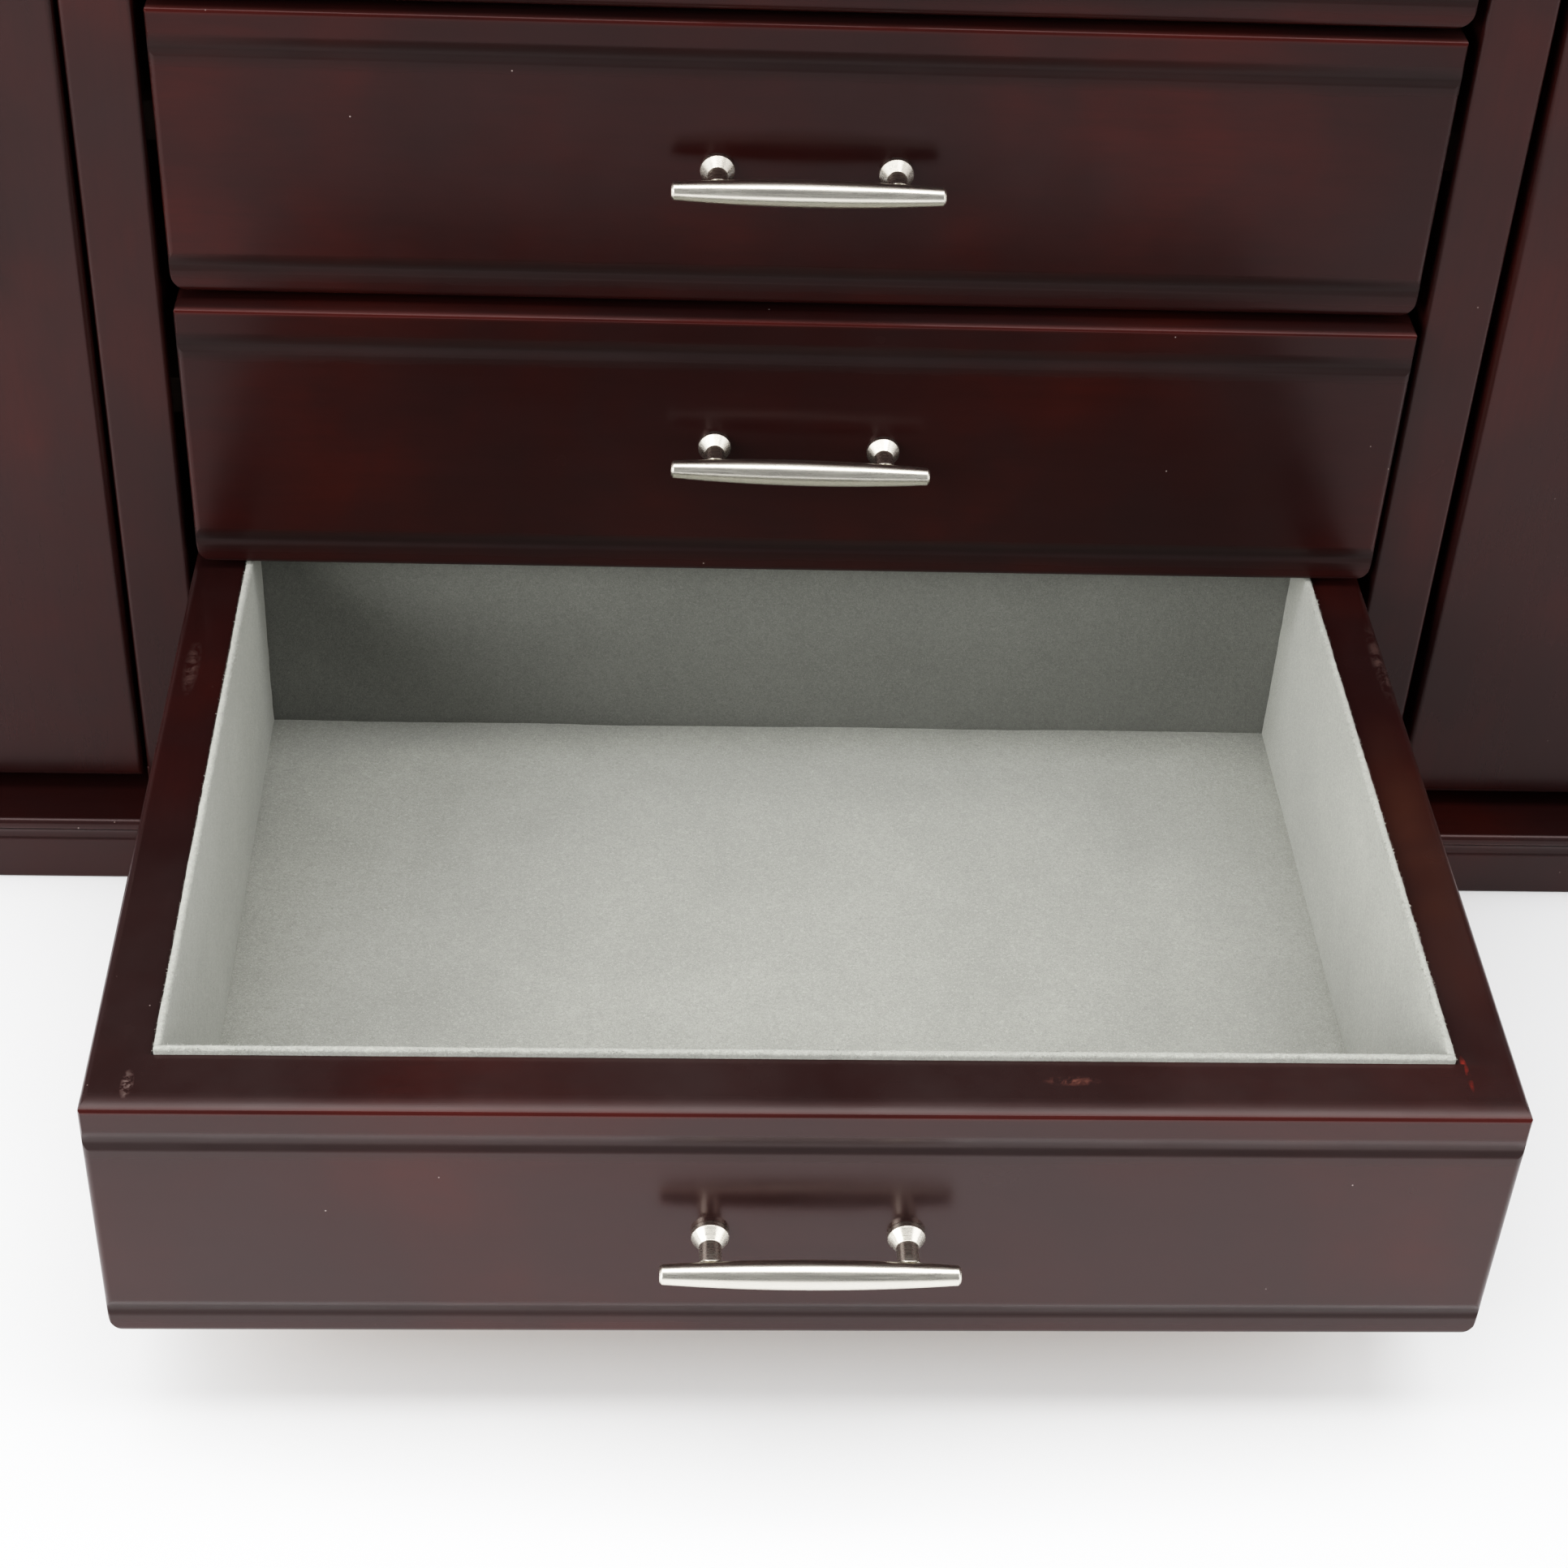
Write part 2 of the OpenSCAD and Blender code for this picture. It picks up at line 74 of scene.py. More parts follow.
# ---------------------------------------------------------------- node helpers
def new_material(name):
    mat = bpy.data.materials.new(name)
    mat.use_nodes = True
    tree = mat.node_tree
    return mat, tree, tree.nodes["Principled BSDF"]


def link(tree, a, b):
    tree.links.new(a, b)


def add(tree, kind, **inputs):
    node = tree.nodes.new(kind)
    for key, value in inputs.items():
        node.inputs[key].default_value = value
    return node


def coords(tree, scale=(1, 1, 1), offset=(0, 0, 0)):
    """Object coordinates, stretched: a piece keeps its own pattern as it moves."""
    tex = tree.nodes.new("ShaderNodeTexCoord")
    mapping = add(tree, "ShaderNodeMapping", Scale=scale, Location=offset)
    link(tree, tex.outputs["Object"], mapping.inputs["Vector"])
    return mapping.outputs["Vector"]


def axis_of(tree, name):
    """One of a point's object coordinates."""
    tex = tree.nodes.new("ShaderNodeTexCoord")
    split = tree.nodes.new("ShaderNodeSeparateXYZ")
    link(tree, tex.outputs["Object"], split.inputs["Vector"])
    return split.outputs[name]


def noise(tree, vector, scale, detail=2.0, rough=0.5, distortion=0.0):
    node = add(tree, "ShaderNodeTexNoise", Scale=scale, Detail=detail, Roughness=rough, Distortion=distortion)
    link(tree, vector, node.inputs["Vector"])
    return node.outputs["Fac"]


def ramp(tree, fac, stops):
    node = tree.nodes.new("ShaderNodeValToRGB")
    elements = node.color_ramp.elements
    while len(elements) < len(stops):
        elements.new(0.5)
    for element, (at, colour) in zip(elements, stops):
        element.position = at
        element.color = (*colour, 1)
    link(tree, fac, node.inputs["Fac"])
    return node.outputs["Color"]


def span(tree, value, a, b, c=0.0, d=1.0):
    """The range a to b of a value, mapped onto c to d and held there outside it."""
    node = tree.nodes.new("ShaderNodeMapRange")
    for key, limit in zip(("From Min", "From Max", "To Min", "To Max"), (a, b, c, d)):
        node.inputs[key].default_value = limit
    link(tree, value, node.inputs["Value"])
    return node.outputs["Result"]


def mix(tree, fac, a, b):
    """Colour a where fac is 0, colour b where it is 1."""
    node = tree.nodes.new("ShaderNodeMix")
    node.data_type = "RGBA"
    for name, value in (("Factor", fac), ("A", a), ("B", b)):
        target = [s for s in node.inputs if s.name == name and (name == "Factor" or s.type == "RGBA")][0]
        if isinstance(value, tuple):
            target.default_value = (*value, 1)
        else:
            link(tree, value, target)
    return [s for s in node.outputs if s.type == "RGBA"][0]


def maths(tree, op, a, b=None):
    node = tree.nodes.new("ShaderNodeMath")
    node.operation = op
    for sock, value in zip(node.inputs, (a, b)):
        if value is None:
            continue
        if isinstance(value, (int, float)):
            sock.default_value = value
        else:
            link(tree, value, sock)
    return node.outputs[0]


def vector_maths(tree, op, a, b, output="Vector"):
    node = tree.nodes.new("ShaderNodeVectorMath")
    node.operation = op
    for sock, value in zip(node.inputs, (a, b)):
        if isinstance(value, list):
            sock.default_value = value
        elif value is not None:
            link(tree, value, sock)
    return node.outputs[output]


def bump(tree, height, strength, distance, normal=None):
    node = add(tree, "ShaderNodeBump", Strength=strength, Distance=distance)
    link(tree, height, node.inputs["Height"])
    if normal is not None:
        link(tree, normal, node.inputs["Normal"])
    return node.outputs["Normal"]


def edge_mask(tree, radius):
    """Rounded normal, and 1 at a sharp edge fading to 0 on a flat."""
    bevel = add(tree, "ShaderNodeBevel", Radius=radius)
    bevel.samples = 6
    geo = tree.nodes.new("ShaderNodeNewGeometry")
    same = vector_maths(tree, "DOT_PRODUCT", bevel.outputs["Normal"], geo.outputs["Normal"], "Value")
    return bevel.outputs["Normal"], span(tree, same, 0.995, 0.80)


def near(tree, where, radii, break_up):
    """1 inside an ellipsoid round a point of the piece in millimetres, fading out at its rim."""
    tex = tree.nodes.new("ShaderNodeTexCoord")
    away = vector_maths(tree, "SUBTRACT", tex.outputs["Object"], [v * MM for v in where])
    scaled = vector_maths(tree, "DIVIDE", away, [v * MM for v in radii])
    mask = span(tree, vector_maths(tree, "LENGTH", scaled, None, "Value"), 1, 0.2)
    return maths(tree, "MULTIPLY", mask, break_up)


# ---------------------------------------------------------------- lacquered wood
GLOSS = 0.22                       # roughness of the lacquer
PALE, RUBBED, RAW = (0.16, 0.12, 0.11), (0.10, 0.045, 0.035), (0.20, 0.024, 0.014)
DULL, WARM = (0.055, 0.033, 0.029), (0.037, 0.013, 0.008)
TOP_Z = 73.3                       # top of the open drawer
# wear on the open drawer: place and radii in millimetres, colour, fineness of the pattern
MARKS = {
    "drawer_1_front": [((-106.5, -143.6, TOP_Z), (1.1, 3.4, 2), PALE, 900),
                       ((103.5, -140.2, TOP_Z), (0.5, 3.4, 2), RAW, 300),
                       ((40, -141.5, TOP_Z), (5, 1.2, 2), RUBBED, 700)],
    "drawer_1_walls": [((103.2, -137.6, TOP_Z), (0.6, 2.6, 2), RAW, 300),
                       ((110.6, -30, TOP_Z), (1.6, 14, 2), DULL, 420),
                       ((-109.8, -36, TOP_Z), (1.6, 9, 2), DULL, 420),
                       ((107, -88, TOP_Z), (8, 44, 2.5), WARM, 14)],
}
# grain direction and pattern seed of each board
WOOD_NODES = {
    "plinth": ("x", 3), "carcass_floor": ("x", 5), "partitions": ("z", 8), "outer_sides": ("z", 11),
    "back_panel": ("x", 14), "tray_deck": ("x", 15), "tray_rails": ("x", 17), "wing_tops": ("x", 18),
    "hook_rails": ("y", 19), "left_door_panel": ("z", 21), "right_door_panel": ("z", 26),
    "lid_board": ("x", 31),
}
for d in range(1, 5):
    WOOD_NODES[f"drawer_{d}_front"] = ("x", 40 + 3 * d)
    WOOD_NODES[f"drawer_{d}_walls"] = ("y", 60 + 3 * d)
# how strongly the lacquer on each board reflects
PLAIN_SHINE = 0.45
SHINE = {"drawer_1_front": 0.5, "drawer_1_walls": 0.5, "drawer_2_front": 0.25, "drawer_3_front": 0.25,
         "drawer_4_front": 0.25, "partitions": 0.32, "left_door_panel": 0.34, "right_door_panel": 0.34}


def stained(tree, plain, flow, fibre):
    """Uneven red-brown stain, darker along the bands and fibres of the grain."""
    blotch = noise(tree, plain, 17, 3, 0.55, 0.4)
    cloud = noise(tree, plain, 40, 3, 0.55, 0.3)
    band = noise(tree, flow, 130, 3, 0.55, 0.8)
    stain = ramp(tree, blotch, [(0.30, (0.015, 0.0042, 0.0040)), (0.50, (0.021, 0.0040, 0.0034)),
                                (0.70, (0.034, 0.0048, 0.0032))])
    stain = mix(tree, span(tree, cloud, 0.40, 0.72, 0.0, 0.6), stain, (0.016, 0.0056, 0.0056))
    stain = mix(tree, span(tree, band, 0.35, 0.75, 0.0, 0.25), stain, (0.012, 0.0030, 0.0026))
    return mix(tree, span(tree, fibre, 0.45, 0.75, 0.0, 0.22), stain, (0.010, 0.0026, 0.0022))


def worn_and_highlit_edges(tree, plain, stain):
    """Stain rubbed a little lighter along every edge, which also paints a highlight there, and the normal
    that rounds the edges.
    """
    normal, edge = edge_mask(tree, 0.0006)
    worn_and_highlight = maths(tree, "MULTIPLY", edge, span(tree, noise(tree, plain, 420, 3), 0.35, 0.75, 0.1, 0.8))
    return normal, mix(tree, maths(tree, "MULTIPLY", worn_and_highlight, 0.5), stain, (0.12, 0.026, 0.017))


def moulded_front(tree, flow, top, face, low, stain, rough):
    """A drawer front between its top, outer face and lowest edge: rubbed rim with a painted highlight, and
    painted shade in the coves.
    """
    z, y = axis_of(tree, "Z"), axis_of(tree, "Y")
    # the stain is rubbed thin along the top front edge; the lighter red there also paints the highlight on
    # that edge
    edge = maths(tree, "MULTIPLY", span(tree, z, top - 0.0016, top - 0.0009),
                 span(tree, y, face + 0.0014, face + 0.0006))
    worn_and_highlight = maths(tree, "MULTIPLY", edge, span(tree, noise(tree, flow, 300, 3), 0.3, 0.7, 0.3, 0.9))
    stain = mix(tree, worn_and_highlight, stain, (0.050, 0.0075, 0.0055))
    # that edge is hazy behind and polished bright at the very front
    crest = maths(tree, "MULTIPLY", span(tree, z, top - 0.0013, top - 0.0010),
                  span(tree, y, face + 0.0042, face + 0.0028))
    crest = maths(tree, "MULTIPLY", crest, span(tree, y, face + 0.0004, face + 0.0009, -0.12, 0.16))
    # painted shade: the coves are darkened to a near-black grey, and their lacquer is made rougher
    upper_cove, lower_cove = top - 0.0078, low + 0.0055
    above, below = (span(tree, maths(tree, "ABSOLUTE", maths(tree, "SUBTRACT", z, at)), 0.0032, 0.0004)
                    for at in (upper_cove, lower_cove))
    cove = maths(tree, "MAXIMUM", above, below)
    stain = mix(tree, maths(tree, "MULTIPLY", cove, 0.7), stain, (0.0105, 0.0066, 0.0062))
    rough = maths(tree, "ADD", rough, maths(tree, "MULTIPLY", cove, 0.22))
    return stain, maths(tree, "ADD", rough, crest)


def painted_sheen_top(tree, face, stain):
    """A grey painted sheen on the upper face, strongest at the front and thinning out towards the back."""
    geo = tree.nodes.new("ShaderNodeNewGeometry")
    up = tree.nodes.new("ShaderNodeSeparateXYZ")
    link(tree, geo.outputs["Normal"], up.inputs["Vector"])
    sheen_mask = maths(tree, "MULTIPLY", span(tree, up.outputs["Z"], 0.8, 0.97),
                  span(tree, noise(tree, coords(tree), 45, 4, 0.6), 0.3, 0.7, 0.15, 0.55))
    sheen_mask = maths(tree, "MULTIPLY", sheen_mask, span(tree, axis_of(tree, "Y"), face + 0.075, face + 0.012))
    return mix(tree, sheen_mask, stain, (0.034, 0.024, 0.023))


def specks(tree, plain, stain):
    """A few specks of dust lying on the lacquer."""
    cells = add(tree, "ShaderNodeTexVoronoi", Scale=115)
    link(tree, plain, cells.inputs["Vector"])
    return mix(tree, span(tree, cells.outputs["Distance"], 0.021, 0.010, 0, 0.6), stain, (0.42, 0.37, 0.34))


def lacquer(node, grain, seed):
    """Stained hardwood of one CAD node under semi-gloss lacquer; grain runs along the axis named."""
    mat, tree, bsdf = new_material("lacquer_" + node)
    (_, face, low), (_, _, top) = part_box(node)
    along = {"x": (0.10, 1, 1), "y": (1, 0.10, 1), "z": (1, 1, 0.10)}[grain]
    flow = coords(tree, along, (seed * 1.7, seed * 0.9, seed * 2.3))
    plain = coords(tree, (1, 1, 1), (seed, -seed, seed * 0.5))
    fibre = noise(tree, flow, 900, 4, 0.6, 0.2)
    stain = stained(tree, plain, flow, fibre)
    rough = span(tree, noise(tree, plain, 48, 3, 0.6, 0.3), 0.3, 0.75, GLOSS - 0.03, GLOSS + 0.06)
    normal = None
    if node.endswith("_front"):
        stain, rough = moulded_front(tree, flow, top, face, low, stain, rough)
    elif not node.endswith("_walls"):
        normal, stain = worn_and_highlit_edges(tree, plain, stain)
    if node.startswith("drawer_1"):
        stain = painted_sheen_top(tree, face, stain)
    for where, radii, colour, scale in MARKS.get(node, ()):
        patch = span(tree, noise(tree, plain, scale, 3, 0.65, 0.6), 0.42, 0.62)
        stain = mix(tree, near(tree, where, radii, patch), stain, colour)
    link(tree, specks(tree, plain, stain), bsdf.inputs["Base Color"])
    link(tree, rough, bsdf.inputs["Roughness"])
    bsdf.inputs["IOR"].default_value = 1.46
    bsdf.inputs["Specular IOR Level"].default_value = SHINE.get(node, PLAIN_SHINE)
    bsdf.inputs["Specular Tint"].default_value = (1.0, 0.86, 0.85, 1)
    peel = bump(tree, noise(tree, plain, 240), 0.05, 0.0003, normal)
    link(tree, bump(tree, fibre, 0.04, 0.00008, peel), bsdf.inputs["Normal"])
    return mat


# ---------------------------------------------------------------- other materials
FELT = (0.325, 0.327, 0.298)
FELT_PAINTED_SHADE = (0.160, 0.162, 0.147)  # painted shade: a darker copy of the felt for the back board of each drawer lining


def tinted(colour, k):
    return tuple(min(1, c * k) for c in colour)


def bare_wood(name, colour, grain, seed):
    mat, tree, bsdf = new_material(name)
    along = {"x": (0.08, 1, 1), "y": (1, 0.08, 1)}[grain]
    flow = coords(tree, along, (seed, seed * 2.1, -seed))
    fibre = noise(tree, flow, 700, 5, 0.6, 0.4)
    band = noise(tree, flow, 120, 3, 0.5, 1.2)
    tone = mix(tree, span(tree, band, 0.35, 0.7), colour, tinted(colour, 0.62))
    tone = mix(tree, span(tree, fibre, 0.5, 0.8, 0, 0.6), tone, tinted(colour, 0.45))
    link(tree, tone, bsdf.inputs["Base Color"])
    link(tree, span(tree, fibre, 0.3, 0.8, 0.5, 0.75), bsdf.inputs["Roughness"])
    link(tree, bump(tree, fibre, 0.3, 0.0001), bsdf.inputs["Normal"])
    return mat


def velour(name, colour, seed):
    """Short-napped felt: mottled shading, a soft sheen and a fuzzy surface."""
    mat, tree, bsdf = new_material(name)
    plain = coords(tree, (1, 1, 1), (seed, seed * 0.4, -seed))
    mottle = noise(tree, plain, 42, 4, 0.6, 0.4)
    fine = noise(tree, plain, 620, 4, 0.65)
    fibre = noise(tree, plain, 2400, 3, 0.7, 1.5)
    tone = mix(tree, span(tree, mottle, 0.3, 0.7), tinted(colour, 0.90), tinted(colour, 1.07))
    tone = mix(tree, span(tree, fine, 0.35, 0.7, 0, 0.5), tone, tinted(colour, 0.80))
    tone = mix(tree, span(tree, fibre, 0.50, 0.70, 0, 0.9), tone, tinted(colour, 1.28))
    tone = mix(tree, span(tree, fibre, 0.50, 0.32, 0, 0.8), tone, tinted(colour, 0.74))
    link(tree, tone, bsdf.inputs["Base Color"])
    bsdf.inputs["Roughness"].default_value = 0.95
    bsdf.inputs["Specular IOR Level"].default_value = 0.12
    bsdf.inputs["Sheen Weight"].default_value = 0.25
    bsdf.inputs["Sheen Roughness"].default_value = 0.5
    bsdf.inputs["Sheen Tint"].default_value = (0.95, 0.96, 0.92, 1)
    nap = bump(tree, fine, 0.35, 0.0004)
    link(tree, bump(tree, fibre, 0.6, 0.00022, nap), bsdf.inputs["Normal"])
    return mat


def brushed_metal(name, colour, rough, brush, seed):
    mat, tree, bsdf = new_material(name)
    line = noise(tree, coords(tree, brush, (seed, 0, 0)), 60, 3, 0.6)
    soft = noise(tree, coords(tree), 90)
    bsdf.inputs["Metallic"].default_value = 1
    link(tree, mix(tree, span(tree, soft, 0.3, 0.7), tinted(colour, 0.94), colour), bsdf.inputs["Base Color"])
    link(tree, span(tree, line, 0.3, 0.7, rough - 0.04, rough + 0.06), bsdf.inputs["Roughness"])
    normal, _ = edge_mask(tree, 0.00018)
    link(tree, bump(tree, line, 0.05, 0.00003, normal), bsdf.inputs["Normal"])
    return mat


def silvered(name):
    mat, tree, bsdf = new_material(name)
    haze = noise(tree, coords(tree), 30, 3)
    bsdf.inputs["Metallic"].default_value = 1
    link(tree, mix(tree, haze, (0.86, 0.89, 0.89), (0.9, 0.92, 0.92)), bsdf.inputs["Base Color"])
    link(tree, span(tree, haze, 0.3, 0.8, 0.01, 0.035), bsdf.inputs["Roughness"])
    return mat


def paint(node, mat):
    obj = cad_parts[node]
    obj.data.materials.clear()
    obj.data.materials.append(mat)


for node, (grain, seed) in WOOD_NODES.items():
    paint(node, lacquer(node, grain, seed))
strip = bare_wood("runner_wood", (0.12, 0.07, 0.04), "y", 2)
ply = bare_wood("bottom_ply", (0.38, 0.25, 0.14), "x", 5)
felt = velour("felt", FELT, 1)
painted_shade_felt = velour("felt_with_painted_shade", FELT_PAINTED_SHADE, 2)
nickel = brushed_metal("satin_nickel", (0.69, 0.655, 0.585), 0.27, (1, 60, 60), 0)
zinc = brushed_metal("screw_zinc", (0.6, 0.6, 0.6), 0.3, (20, 20, 20), 4)
glass = silvered("mirror_glass")
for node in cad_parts:
    if node in WOOD_NODES:
        continue
    if node == "runners":
        paint(node, strip)
    elif node.endswith("_bottom"):
        paint(node, ply)
    elif "lining" in node or node == "ring_rolls":
        paint(node, felt)
    elif node.endswith("screws"):
        paint(node, zinc)
    elif node == "lid_mirror":
        paint(node, glass)
    else:
        paint(node, nickel)


# ---------------------------------------------------------------- felt, in millimetres
LEAN = 0.7                         # how far rim fibres lean outwards


def mm_box(node):
    low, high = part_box(node)
    return [v / MM for v in low], [v / MM for v in high]


def cuts(lo, hi, r, step):
    """Cut positions along one side: close together in the rounded ends, step apart between."""
    ends = [r * (1 - math.cos(math.radians(a))) for a in (0, 25, 45, 65, 90)]
    n = max(1, round((hi - lo - 2 * r) / step))
    middle = [lo + r + (hi - lo - 2 * r) * k / n for k in range(1, n)]
    return [lo + e for e in ends] + middle + [hi - e for e in reversed(ends)]


def felt_board(bm, low, high, r, step, wave, nap, seed, index=0):
    """A felt-wrapped board: edges eased by r, a grid of about one step, slow waves and a rough nap."""
    lo, hi = Vector(low), Vector(high)
    grid = [cuts(lo[k], hi[k], min(r, (hi[k] - lo[k]) / 2.02), step) for k in range(3)]
    made = {}
    jump = Vector((seed * 7.3, seed * 3.1, seed * 5.7))

    def core(p):
        """The nearest point to p of the box that the rounding starts from."""
        return Vector(min(max(p[n], lo[n] + r), hi[n] - r) if hi[n] - lo[n] > 2 * r
                      else (lo[n] + hi[n]) / 2 for n in range(3))

    def vert(i, j, k):
        key = (i, j, k)
        if key not in made:
            p = Vector((grid[0][i], grid[1][j], grid[2][k]))
            q = core(p)
            out = p - q
            if out.length > 1e-6:
                reach = Vector(min(r, (hi[n] - lo[n]) / 2) for n in range(3))
                unit = Vector(out[n] / reach[n] for n in range(3))
                if unit.length > 1:
                    unit.normalize()
                    p = q + Vector(unit[n] * reach[n] for n in range(3))
                slow, quick = noise3((p + jump) * 0.045), noise3((p + jump) * 0.9)
                p += out.normalized() * (wave * (slow - 0.2) + nap * (quick - 0.5))
            made[key] = bm.verts.new(p * MM)
        return made[key]

    n = [len(g) - 1 for g in grid]
    for axis in range(3):
        u, v = [a for a in range(3) if a != axis]
        for side in (0, n[axis]):
            for a in range(n[u]):
                for b in range(n[v]):
                    corner = []
                    for da, db in ((0, 0), (1, 0), (1, 1), (0, 1)):
                        key = [0, 0, 0]
                        key[axis], key[u], key[v] = side, a + da, b + db
                        corner.append(vert(*key))
                    if (side == 0) != (axis == 1):
                        corner.reverse()
                    bm.faces.new(corner).material_index = index


def fuzz(bm, a, b, out, per_mm, seed, reach=0.34, ceiling=math.inf):
    """Short fibres standing off a felt edge that runs from a to b, none higher than the ceiling."""
    dice = random.Random(seed)
    a, b, out = Vector(a), Vector(b), Vector(out).normalized()
    run = b - a
    length = run.length
    run.normalize()
    side = run.cross(out)
    for _ in range(int(length * per_mm)):
        base = a + run * dice.uniform(0, length) + side * dice.uniform(-0.25, 0.25) - out * 0.12
        aim = (out + run * dice.gauss(0, 0.7) + side * dice.gauss(0, 0.6)).normalized()
        tall = reach * (0.35 + dice.random() ** 2)
        width = dice.uniform(0.035, 0.07)
        flat = (run + side * dice.uniform(-1, 1)).normalized() * width
        mid = base + aim * tall * 0.6 + side * dice.gauss(0, 0.04)
        tip = base + aim * tall + run * dice.gauss(0, 0.08)
        v = [bm.verts.new(Vector((p.x, p.y, min(p.z, ceiling))) * MM)
             for p in (base - flat, base + flat, mid + flat * 0.6, mid - flat * 0.6, tip)]
        bm.faces.new((v[0], v[1], v[2], v[3]))
        bm.faces.new((v[3], v[2], v[4]))


def finish_felt(bm, name, body, nodes, mats):
    mesh = bpy.data.meshes.new(name)
    bm.normal_update()
    bm.to_mesh(mesh)
    bm.free()
    mesh.shade_smooth()
    for mat in mats:
        mesh.materials.append(mat)
    obj = bpy.data.objects.new(name, mesh)
    scene.collection.objects.link(obj)
    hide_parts(*nodes)
    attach(obj, body)
    return obj


def drawer_lining(i):
    """Floor board and four side boards, which press into it and into each other at the seams."""
    (x0, y0, z0), (x1, y1, z1) = mm_box(f"drawer_{i}_lining")
    board, floor_board, press, lap, gap = 1.4, 2, 0.7, 0.6, 0.1
    floor_top = z0 + floor_board
    foot = floor_top - press
    ya, yb = y0 + board - lap, y1 - board + lap
    side_top = z1 - 0.02
    edge = (0.6, 2, 0.10, 0.10)    # r, step, wave and nap of a side board
    bm = bmesh.new()
    felt_board(bm, (x0 + gap, y0 + gap, z0 + 0.05), (x1 - gap, y1 - gap, floor_top), 0.8, 3, 0.25, 0.05, i)
    felt_board(bm, (x0, y0, foot), (x1, y0 + board, z1), *edge, i + 10)
    # the back board takes the darker felt, painted shade
    felt_board(bm, (x0, y1 - board, foot), (x1, y1, z1), *edge, i + 20, 1)
    felt_board(bm, (x0, ya, foot), (x0 + board, yb, side_top), *edge, i + 30)
    felt_board(bm, (x1 - board, ya, foot), (x1, yb, side_top), *edge, i + 40)
    rims = [((x0, y), (x1, y), (0, lean)) for y, lean in
            ((y0, -LEAN), (y0 + board, LEAN), (y1 - board, -LEAN), (y1, LEAN))]
    rims += [((x, ya), (x, yb), (lean, 0)) for x, lean in
             ((x0, -LEAN), (x0 + board, LEAN), (x1 - board, -LEAN), (x1, LEAN))]
    rate = 8 if i == 1 else 2.5
    ceiling = z1 + 0.06
    for k, (a, b, lean) in enumerate(rims):
        inward = Vector((-lean[0], -lean[1], 0)) * 0.25
        crown, flank = ([Vector((*end, z1 - drop)) + inward for end in (a, b)] for drop in (0.2, 0.7))
        fuzz(bm, *crown, (*lean, LEAN), rate, 100 * i + k, 0.42, ceiling)
        fuzz(bm, *flank, (*lean, 0), rate * 0.7, 100 * i + 50 + k, 0.4, ceiling)
    finish_felt(bm, f"drawer_{i}_felt", f"drawer_{i}", [f"drawer_{i}_lining"], (felt, painted_shade_felt))


def tray_lining():
    """The lined tray under the lid, with two lower dividers."""
    (x0, y0, z0), (x1, y1, z1) = mm_box("tray_lining")
    board, press, lap, gap, divider = 1.5, 0.5, 0.6, 0.1, 3
    floor_top = z0 + board
    foot, ya, yb = floor_top - press, y0 + board - lap, y1 - board + lap
    edge = (0.65, 3, 0.1, 0.08)
    bm = bmesh.new()
    felt_board(bm, (x0 + gap, y0 + gap, z0 + 0.05), (x1 - gap, y1 - gap, floor_top), 0.6, 4, 0.2, 0.05, 51)
    felt_board(bm, (x0, y0, foot), (x1, y0 + board, z1), *edge, 52)
    felt_board(bm, (x0, y1 - board, foot), (x1, y1, z1), *edge, 53)
    felt_board(bm, (x0, ya, foot), (x0 + board, yb, z1 - 0.02), *edge, 54)
    felt_board(bm, (x1 - board, ya, foot), (x1, yb, z1 - 0.02), *edge, 55)
    divider_top = z1 - 9.4
    ya_in, yb_in = y0 + board, y1 - board
    for k, x in enumerate((-39.5, 36.5)):
        felt_board(bm, (x, ya, foot), (x + divider, yb, divider_top), 1.3, 3, 0.1, 0.08, 56 + k)
        for side, out in ((0.3, (-0.6, 0, 0.8)), (2.7, (0.6, 0, 0.8))):
            rim = [(x + side, y, divider_top - 0.5) for y in (ya_in, yb_in)]
            fuzz(bm, *rim, out, 2, 560 + k)
    xa_in, xb_in = x0 + board, x1 - board
    for k, (a, b, lean) in enumerate((((x0, ya_in), (x1, ya_in), (0, LEAN)),
                                      ((x0, yb_in), (x1, yb_in), (0, -LEAN)),
                                      ((xa_in, ya_in), (xa_in, yb_in), (LEAN, 0)),
                                      ((xb_in, ya_in), (xb_in, yb_in), (-LEAN, 0)))):
        fuzz(bm, (*a, z1 - 0.2), (*b, z1 - 0.2), (*lean, LEAN), 2, 580 + k)
    finish_felt(bm, "tray_felt", "carcass", ["tray_lining"], (felt,))


def wing_linings():
    """A back board and a floor board in each bay beside the drawers."""
    (x0, y0, z0), (x1, y1, z1) = mm_box("wing_linings")
    inner = 127.5                  # outer face of the partitions
    bm = bmesh.new()
    for k, (a, b) in enumerate(((x0, -inner), (inner, x1))):
        felt_board(bm, (a, y1 - 1.5, z0 + 0.6), (b, y1, z1), 0.65, 5, 0.15, 0.08, 61 + k)
        felt_board(bm, (a, y0, z0), (b, y1 - 0.6, z0 + 1.5), 0.65, 4, 0.15, 0.08, 63 + k)
    finish_felt(bm, "wing_felt", "carcass", ["wing_linings"], (felt,))


def lid_lining():
    """Four strips round the mirror; the end strips tuck under the long ones."""
    (x0, y0, z0), (x1, y1, z1) = mm_box("lid_lining")
    frame_x, front, back, tuck = 120, 38, 142, 0.4
    ya, yb, under = front - tuck, back + tuck, z0 + 0.02
    edge = (0.6, 5, 0.08, 0.06)
    bm = bmesh.new()
    felt_board(bm, (x0, y0, z0), (x1, front, z1), *edge, 71)
    felt_board(bm, (x0, back, z0), (x1, y1, z1), *edge, 72)
    felt_board(bm, (x0, ya, under), (-frame_x, yb, z1), *edge, 73)
    felt_board(bm, (frame_x, ya, under), (x1, yb, z1), *edge, 74)
    finish_felt(bm, "lid_felt", "lid", ["lid_lining"], (felt,))


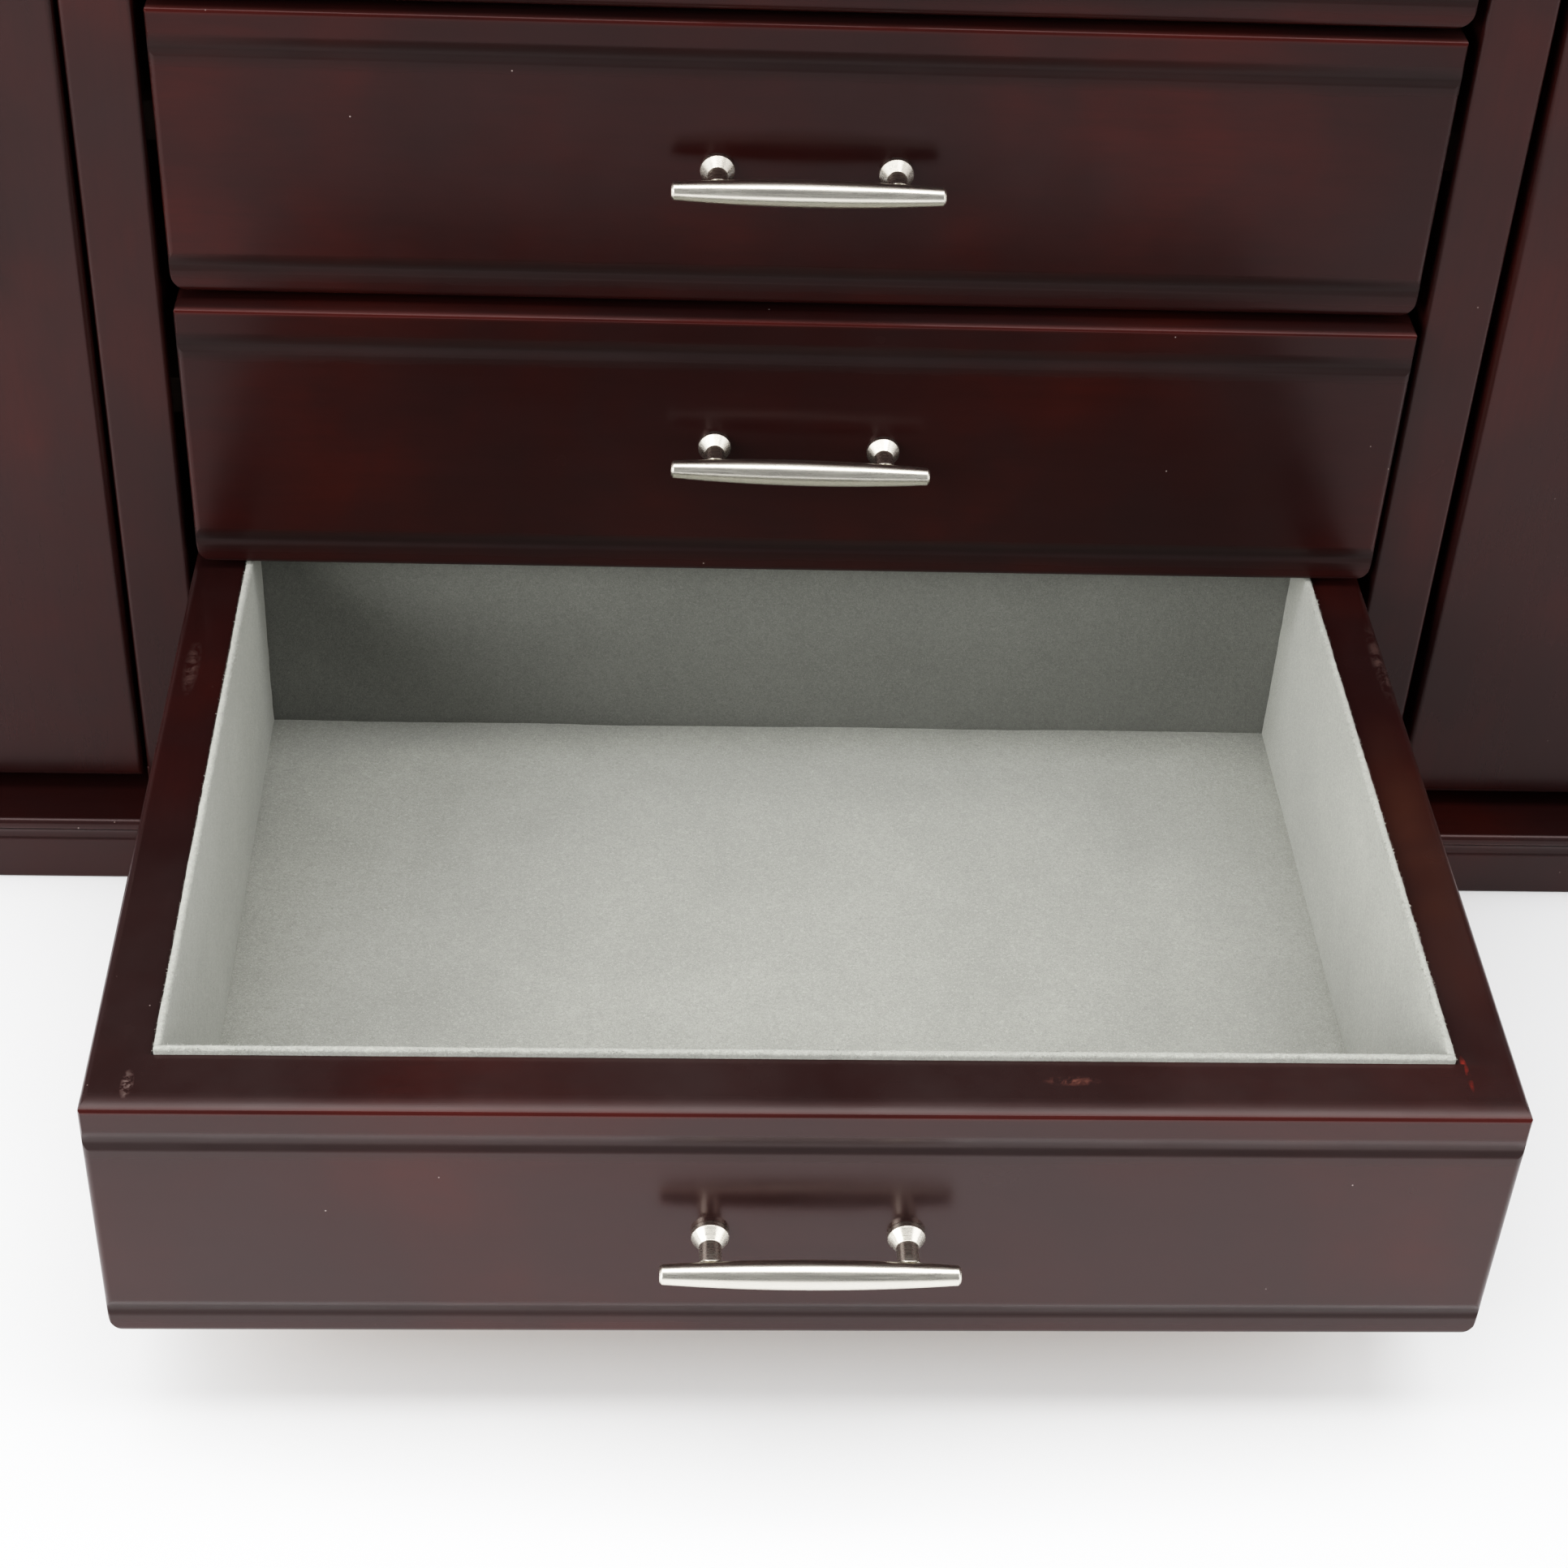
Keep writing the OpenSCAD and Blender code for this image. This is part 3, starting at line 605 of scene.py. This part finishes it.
def ring_rolls():
    """Nine stuffed rolls, each a crowned form with drawn-in ends and a slightly uneven swell."""
    (x0, y0, z0), (x1, y1, z1) = mm_box("ring_rolls")
    count, width, depth, draw_in, cushion = 9, 16.0, 8.5, 0.30, 3.6
    pitch = (y1 - y0 - width) / (count - 1)
    bm = bmesh.new()
    section = [(7.9 * math.cos(math.radians(a)), 8 * math.sin(math.radians(a))) for a in range(0, 181, 12)]
    base = [(-7.85, -3), (-7.7, -6), (-7.0, -7.7), (-5.2, -8.4), (-2, -depth)]
    section += base + [(-py, pz) for py, pz in reversed(base)]
    ends = (0, 0.25, 0.7, 1.4, 2.4, cushion)
    xs = [x0 + d for d in ends]
    xs += [x0 + cushion + (x1 - x0 - 2 * cushion) * j / 34 for j in range(1, 34)]
    xs += [x1 - d for d in reversed(ends)]
    for k in range(count):
        yc, zc = y0 + width / 2 + pitch * k, z1 - 8
        rings = []
        for x in xs:
            inset = max(0, 1 - min(x - x0, x1 - x) / cushion)
            draw = 1 - draw_in * (1 - math.sqrt(max(0, 1 - inset ** 2)))
            ring = []
            for py, pz in section:
                level = (pz + depth) * draw - depth if pz < 0 else pz * draw - depth * (1 - draw) * 0.4
                p = Vector((x, yc + py * draw, zc + level))
                swell = 0.22 * (noise3((p + Vector((k * 9.1, 0, 0))) * 0.11) - 0.6) + 0.06 * noise3(p * 0.9)
                p += Vector((0, py, pz)).normalized() * min(0, swell) * draw
                ring.append(bm.verts.new(p * MM))
            rings.append(ring)
        n = len(section)
        for a, b in zip(rings, rings[1:]):
            for j in range(n):
                bm.faces.new((a[j], b[j], b[(j + 1) % n], a[(j + 1) % n]))
        bm.faces.new(rings[0])
        bm.faces.new(list(reversed(rings[-1])))
        fuzz(bm, (x0 + 3, yc, z1 - 0.45), (x1 - 3, yc, z1 - 0.45), (0, 0, 1), 3, 700 + k, 0.3)
    bmesh.ops.recalc_face_normals(bm, faces=bm.faces)
    rolls = finish_felt(bm, "ring_rolls_felt", "carcass", ["ring_rolls"], (felt,))


for i in range(1, 5):
    drawer_lining(i)
tray_lining()
wing_linings()
lid_lining()
ring_rolls()


# ---------------------------------------------------------------- stage and light
def table_top():
    mesh = bpy.data.meshes.new("table_top")
    bm = bmesh.new()
    bmesh.ops.create_grid(bm, x_segments=1, y_segments=1, size=8.0)
    bm.to_mesh(mesh)
    bm.free()
    obj = bpy.data.objects.new("table_top", mesh)
    scene.collection.objects.link(obj)
    obj.location = (0, 0, -0.0002)
    mat, tree, bsdf = new_material("table_white")
    soft = noise(tree, coords(tree), 3)
    link(tree, mix(tree, soft, (0.87, 0.875, 0.88), (0.89, 0.895, 0.90)), bsdf.inputs["Base Color"])
    bsdf.inputs["Roughness"].default_value = 0.6
    mesh.materials.append(mat)


def area_light(name, at, aim, size, power):
    data = bpy.data.lights.new(name, "AREA")
    data.shape = "RECTANGLE"
    data.size, data.size_y = size
    data.energy = power
    obj = bpy.data.objects.new(name, data)
    scene.collection.objects.link(obj)
    obj.location = at
    direction = Vector(aim) - Vector(at)
    obj.rotation_euler = direction.to_track_quat("-Z", "Y").to_euler()


def ambient(colour, strength):
    world = bpy.data.worlds.new("studio")
    scene.world = world
    world.use_nodes = True
    background = world.node_tree.nodes["Background"]
    background.inputs["Color"].default_value = (*colour, 1)
    background.inputs["Strength"].default_value = strength


def tone_curve(white, levels):
    """A camera's tone curve: soft shoulder, slightly crushed darks."""
    scene.view_settings.view_transform = "Standard"
    scene.view_settings.use_curve_mapping = True
    tone = scene.view_settings.curve_mapping
    tone.white_level = (white, white, white)
    for at, level in levels:
        tone.curves[3].points.new(at, level)
    tone.update()


table_top()
area_light("overhead", (-0.05, -0.10, 1.35), (-0.05, -0.10, 0), (1.8, 0.8), 21)
area_light("wall_left", (-0.95, -0.60, 0.67), (0, -0.60, 0.60), (1.7, 1.1), 18)
area_light("wall_right", (0.95, -0.60, 0.67), (0, -0.60, 0.60), (1.7, 1.1), 15)
area_light("left_soft", (-1.10, -0.95, 0.60), (0, -0.10, 0.05), (0.9, 0.7), 13)
ambient((0.95, 0.97, 1.0), 0.26)
tone_curve(1.8, ((0.0125, 0.015), (0.025, 0.032), (0.05, 0.08), (0.1, 0.19), (0.2, 0.40), (0.4, 0.685),
                 (0.55, 0.82), (0.83, 0.955)))
